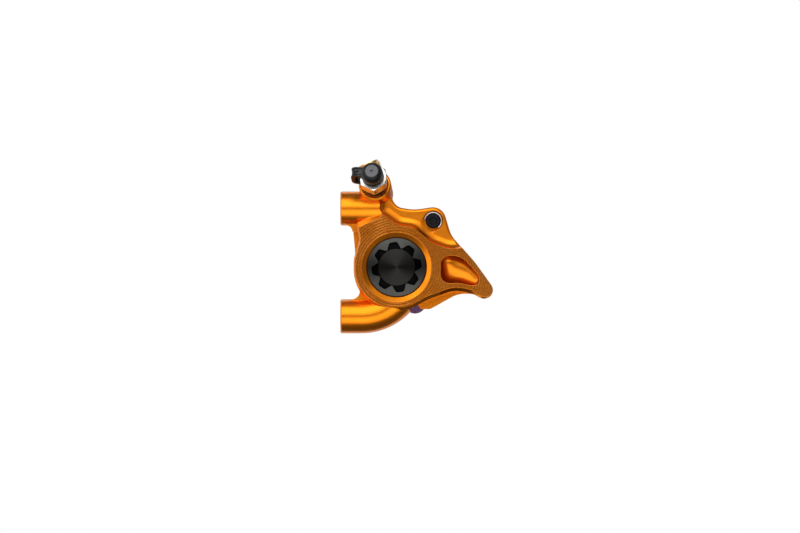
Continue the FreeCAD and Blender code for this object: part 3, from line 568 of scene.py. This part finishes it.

# Dust cap: one moulding of black rubber, a cap on the spout and a strap that loops back to a ring round the
# nipple's neck. The strap has a raised rim and a small knob. What faces outwards has a painted grey sheen.
joints = {joint["name"]: joint for joint in frame["joints"]}
nipple_foot = Vector(joints["bleed_nipple_turn"]["pos_m"])
nipple_axis = Vector(joints["bleed_nipple_turn"]["axis"])
cap_profile = [(0.0, 13.0), (0.35, 13.0), (0.35, 13.3), (2.25, 13.3), (3.1, 12.5), (3.4, 11.4), (3.4, 9.7),
               (3.25, 9.5), (3.25, 9.1), (3.45, 8.9), (3.45, 7.62), (2.82, 7.62), (2.82, 12.05), (0.0, 12.05)]
cap_rounding = [0.0, 0.08, 0.12, 0.45, 0.5, 0.5, 0.12, 0.1, 0.1, 0.15, 0.2, 0.1, 0.1, 0.0]
cap_steps = 64
ring_profile = [(2.35, 0.9), (4.1, 0.9), (4.1, 2.2), (2.35, 2.2)]
ring_rounding = 0.35
strap_route = [(-2.9, 8.35), (-6.35, 8.35), (-6.35, 1.55), (-2.9, 1.55)]
strap_section = [(-0.65, -1.5), (-0.65, 1.5), (0.65, 1.5), (0.65, 1.1), (0.42, 0.9), (0.42, -0.9),
                 (0.65, -1.1), (0.65, -1.5)]
strap_rounding = 0.12
strap_bend = 1.7
strap_shift = 1.1
strap_turn = math.radians(-7)
knob_profile = [(0.0, 9.3), (0.42, 9.3), (0.5, 9.0), (0.5, 8.2), (0.0, 8.2)]
knob_rounding = [0.0, 0.2, 0.2, 0.0, 0.0]
knob_steps = 24
knob_place = (-5.2, strap_shift + 0.3, 0.0)
sheen_from = 8.5 * MM
sheen_full = 13.0 * MM
moulded, tree, surface, place = start_finish("black moulded rubber", "#1A1A1B", 0.0, 0.42,
                                             Specular_IOR_Level=0.25)
# Painted sheen: grey where the normal points along the nipple's axis, weaker lower down.
normal = add(tree, "NewGeometry").outputs["Normal"]
facing = add(tree, "VectorMath", {0: normal, 1: nipple_axis}, operation="DOT_PRODUCT").outputs["Value"]
painted_sheen = add(tree, "MapRange", {"Value": facing, "From Min": 0.97, "From Max": 0.999}).outputs[0]
rise = add(tree, "VectorMath", {0: place, 1: nipple_foot}, operation="SUBTRACT").outputs[0]
height = add(tree, "VectorMath", {0: rise, 1: nipple_axis}, operation="DOT_PRODUCT").outputs["Value"]
upwards = {"Value": height, "From Min": sheen_from, "From Max": sheen_full, "To Min": 0.25}
sheen_by_height = add(tree, "MapRange", upwards).outputs[0]
painted_sheen = add(tree, "Math", {0: painted_sheen, 1: sheen_by_height}, operation="MULTIPLY").outputs[0]
grain = add(tree, "TexNoise", {"Vector": place, "Scale": 1 / (0.3 * MM), "Detail": 5.0}).outputs["Fac"]
black = add(tree, "Mix", {"Factor": grain, "A": linear("#060607"), "B": linear("#121214")}, data_type="RGBA")
shade = add(tree, "Mix", {"Factor": painted_sheen, "A": black.outputs["Result"], "B": linear("#66666A")},
            data_type="RGBA")
skin = add(tree, "Bump", {"Height": grain, "Distance": 0.012 * MM}).outputs["Normal"]
tree.links.new(shade.outputs["Result"], surface.inputs["Base Color"])
tree.links.new(skin, surface.inputs["Normal"])
cap_line = rounded(cap_profile, cap_rounding)[:, :, None]
ring_line = rounded(ring_profile, ring_rounding)[:, :, None]
knob_line = rounded(knob_profile, knob_rounding)[:, :, None]
route = open_route(strap_route, strap_bend, 10)
flat_route = np.stack([route[:, 0], np.full(len(route), strap_shift), route[:, 1]], axis=-1)
cap = round_axis(cap_line[:, 0], cap_line[:, 1], cap_steps)
ring = round_axis(ring_line[:, 0], ring_line[:, 1], cap_steps)
strap = carried(flat_route, across, rounded(strap_section, strap_rounding, 4))
knob = round_axis(knob_line[:, 0], knob_line[:, 1], knob_steps) + np.array(knob_place)
cosine, sine = math.cos(strap_turn), math.sin(strap_turn)
swing = np.array([(cosine, -sine, 0.0), (sine, cosine, 0.0), (0.0, 0.0, 1.0)])
forms = [(cap, False), (ring, True), (strap @ swing.T, False), (knob @ swing.T, False)]
dust_cap = make_piece("rubber_dust_cap", forms, moulded, nipple_foot, nipple_axis)
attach(dust_cap, "caliper")
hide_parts("nipple_dust_cap")

# Hose connector: turned from brass and drilled through, with a fine thread for the hose's nut and a cone
# inside for its olive. Copper shows where the brass is tarnished.
hose = mounts["hose_thread"]
hose_axis = Vector(hose["axis"]).normalized()
hose_r = hose["dims"]["r_mm"]
washer_t = 1.4
connector_len = 4.6
hose_pitch = 0.7
hose_thread_depth = 0.36
hose_thread_ease = 0.5
hose_thread_steps = 96
hose_thread_rows = 84
flange = 0.35
shank_r = 2.2
shank_end = -4.6
shank_chamfer = 0.5
drilling_r = 0.9
olive_cone = 2.2
cone_rim = 0.1
port_foot = Vector(hose["pos_m"]) - hose_axis * (washer_t + hose["dims"]["length_mm"] / 2) * MM
brass, tree, surface, place = start_finish("turned brass", "#D8B060", 1.0, 0.26)
cloud = add(tree, "TexNoise", {"Vector": place, "Scale": 1 / (3 * MM), "Detail": 4.0}).outputs["Fac"]
tarnish = add(tree, "MapRange", {"Value": cloud, "From Min": 0.4, "From Max": 0.6}).outputs[0]
shade = add(tree, "Mix", {"Factor": tarnish, "A": linear("#DDB766"), "B": linear("#C9814A")},
            data_type="RGBA")
fine = add(tree, "TexNoise", {"Vector": place, "Scale": 1 / (0.2 * MM), "Detail": 3.0}).outputs["Fac"]
marks = add(tree, "Bump", {"Height": fine, "Distance": 0.002 * MM}).outputs["Normal"]
tree.links.new(shade.outputs["Result"], surface.inputs["Base Color"])
tree.links.new(marks, surface.inputs["Normal"])
steps = hose_thread_steps
end = washer_t + connector_len
thread_low = washer_t + hose_thread_ease
thread_high = end - hose_thread_ease
height = np.linspace(thread_low, thread_high, hose_thread_rows)[:, None]
winding = ridge(height, steps, hose_pitch) * run_out(height, thread_low, thread_high, hose_thread_ease)
flank = hose_r - hose_thread_depth + hose_thread_depth * winding
below = np.array([(drilling_r, shank_end), (shank_r - shank_chamfer, shank_end),
                  (shank_r, shank_end + shank_chamfer), (shank_r, washer_t), (hose_r, washer_t),
                  (hose_r, washer_t + flange)])
above = np.array([(hose_r - hose_thread_ease, end), (shank_r + cone_rim, end), (shank_r, end - cone_rim),
                  (drilling_r, end - olive_cone)])
radius = np.concatenate([np.repeat(below[:, :1], steps, 1), flank, np.repeat(above[:, :1], steps, 1)])
grid = round_axis(radius, np.concatenate([below[:, 1:], height, above[:, 1:]]), steps)
connector = make_piece("threaded_hose_connector", [(grid, True)], brass, port_foot, hose_axis)
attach(connector, "caliper")
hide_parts("hose_connector")

# Crush washer: a ring stamped from soft bright aluminium and squeezed under the connector, which scuffs it
# and rounds its rims.
soft_aluminium, tree, surface, place = start_finish("soft bright aluminium", "#D4D5D7", 1.0, 0.32)
scuff = add(tree, "TexNoise", {"Vector": place, "Scale": 1 / (0.3 * MM), "Detail": 5.0}).outputs["Fac"]
edge = add(tree, "Bevel", {"Radius": 0.12 * MM}, samples=4).outputs["Normal"]
marks = add(tree, "Bump", {"Height": scuff, "Distance": 0.006 * MM, "Normal": edge}).outputs["Normal"]
tree.links.new(marks, surface.inputs["Normal"])
dress("hose_crush_washer", soft_aluminium)

# Floor: a plain white sweep, low enough for light from below to reach the part. It shows white to the lens
# and in the metal, and darker where the part's shadow falls on it.
floor_drop = 0.42
floor_half = 4.0
floor_glow = 0.55
floor_z = cad_low.z - floor_drop


def seen_directly(tree):
    """1 for what the lens sees, by itself or through a mirror or a clear piece, and 0 for the light cast."""
    ray = add(tree, "LightPath").outputs
    seen = add(tree, "Math", {0: ray["Is Camera Ray"], 1: ray["Is Glossy Ray"]}, operation="MAXIMUM")
    seen = add(tree, "Math", {0: seen.outputs[0], 1: ray["Is Transmission Ray"]}, operation="MAXIMUM")
    return seen.outputs[0]


paper, tree, surface, place = start_finish("white paper sweep", "#F4F4F2", 0.0, 0.9)
glow = add(tree, "Math", {0: seen_directly(tree), 1: floor_glow}, operation="MULTIPLY").outputs[0]
surface.inputs["Emission Color"].default_value = (1.0, 1.0, 1.0, 1.0)
tree.links.new(glow, surface.inputs["Emission Strength"])
floor_mesh = bpy.data.meshes.new("floor")
corners = [(-floor_half, -floor_half, floor_z), (floor_half, -floor_half, floor_z),
           (floor_half, floor_half, floor_z), (-floor_half, floor_half, floor_z)]
floor_mesh.from_pydata(corners, [], [(0, 1, 2, 3)])
floor_mesh.materials.append(paper)
floor = bpy.data.objects.new("floor", floor_mesh)
bpy.context.scene.collection.objects.link(floor)

# Studio: a white room with a soft box above and one below the lens, a strip at the left and one box behind.
# Grey cards give the metal its dark bands, and only gloss sees them.
aim = (cad_low + cad_high) / 2


def faced(azimuth, elevation):
    """Direction from the part: azimuth 0 is the lens's side, 90 the right, and elevation is above level."""
    a, e = math.radians(azimuth), math.radians(elevation)
    return Vector((math.sin(a) * math.cos(e), -math.cos(a) * math.cos(e), math.sin(e)))


def soft_box(name, azimuth, elevation, reach, width, height, radiance):
    """Rectangular lamp aimed at the part. Its power is pi times its area times its radiance."""
    lamp = bpy.data.lights.new(name, "AREA")
    lamp.shape = "RECTANGLE"
    lamp.size = width
    lamp.size_y = height
    lamp.energy = math.pi * width * height * radiance
    made = bpy.data.objects.new(name, lamp)
    out = faced(azimuth, elevation)
    made.location = aim + out * reach
    made.rotation_euler = (-out).to_track_quat("-Z", "Y").to_euler()
    bpy.context.scene.collection.objects.link(made)


def grey_card(name, azimuth, elevation, reach, width, height, level):
    """Flat card that only gloss sees, facing the part, with an even grey level."""
    out = faced(azimuth, elevation)
    turn = (-out).to_track_quat("-Z", "Y").to_matrix()
    w, h = width / 2, height / 2
    points = [aim + out * reach + turn @ Vector(p) for p in ((-w, -h, 0), (w, -h, 0), (w, h, 0), (-w, h, 0))]
    mesh = bpy.data.meshes.new(name)
    mesh.from_pydata(points, [], [(0, 1, 2, 3)])
    grey = bpy.data.materials.new(name)
    grey.use_nodes = True
    grey.node_tree.nodes.clear()
    glow = add(grey.node_tree, "Emission", {"Color": (level, level, level, 1.0)})
    add(grey.node_tree, "OutputMaterial", {"Surface": glow.outputs[0]})
    mesh.materials.append(grey)
    card = bpy.data.objects.new(name, mesh)
    card.visible_camera = False
    card.visible_diffuse = False
    card.visible_shadow = False
    card.visible_transmission = False
    bpy.context.scene.collection.objects.link(card)


# Azimuth and elevation are in degrees, reach, width and height in metres. A radiance or level of 1 is white.
soft_box("box_above", -20, 37, 0.7, 0.8, 0.68, 1.75)
soft_box("box_below", -5, -26, 0.7, 0.75, 0.42, 1.2)
soft_box("box_left", -58, 2, 0.8, 0.3, 0.6, 1.3)
soft_box("box_behind", 170, 62, 0.8, 0.8, 0.5, 1.3)
grey_card("card_front", 0, 2, 0.9, 3.0, 0.3, 0.17)
grey_card("card_above", 0, 99, 0.6, 1.4, 0.66, 0.2)
grey_card("card_below", 0, -88, 0.38, 1.2, 0.58, 0.12)
grey_card("card_right", 75, 0, 0.7, 0.7, 1.0, 0.2)
grey_card("card_behind", 180, 0, 0.9, 1.4, 1.1, 0.3)
room_light = 0.35
world = bpy.data.worlds.new("white room")
bpy.context.scene.world = world
world.use_nodes = True
tree = world.node_tree
level = add(tree, "MapRange", {"Value": seen_directly(tree), "To Min": room_light, "To Max": 1.0}).outputs[0]
background = tree.nodes["Background"]
background.inputs["Color"].default_value = (1.0, 1.0, 1.0, 1.0)
tree.links.new(level, background.inputs["Strength"])
bpy.context.scene.view_settings.view_transform = "Standard"

# Camera: level with the part and square to its face, far off with a long lens, as the photograph was taken.
# At the part's distance it takes in the photograph's width.
lens_reach = 1.5
sensor = 36.0
view_width = 252.3 * MM
view_centre = Vector((18.77 * MM, 0.0, -1.29 * MM))
camera = bpy.data.objects.new("camera", bpy.data.cameras.new("camera"))
camera.data.sensor_width = sensor
camera.data.lens = sensor * lens_reach / view_width
camera.data.clip_end = 20.0
camera.location = view_centre + Vector((0.0, -lens_reach, 0.0))
camera.rotation_euler = (math.radians(90), 0.0, 0.0)
bpy.context.scene.collection.objects.link(camera)
bpy.context.scene.camera = camera
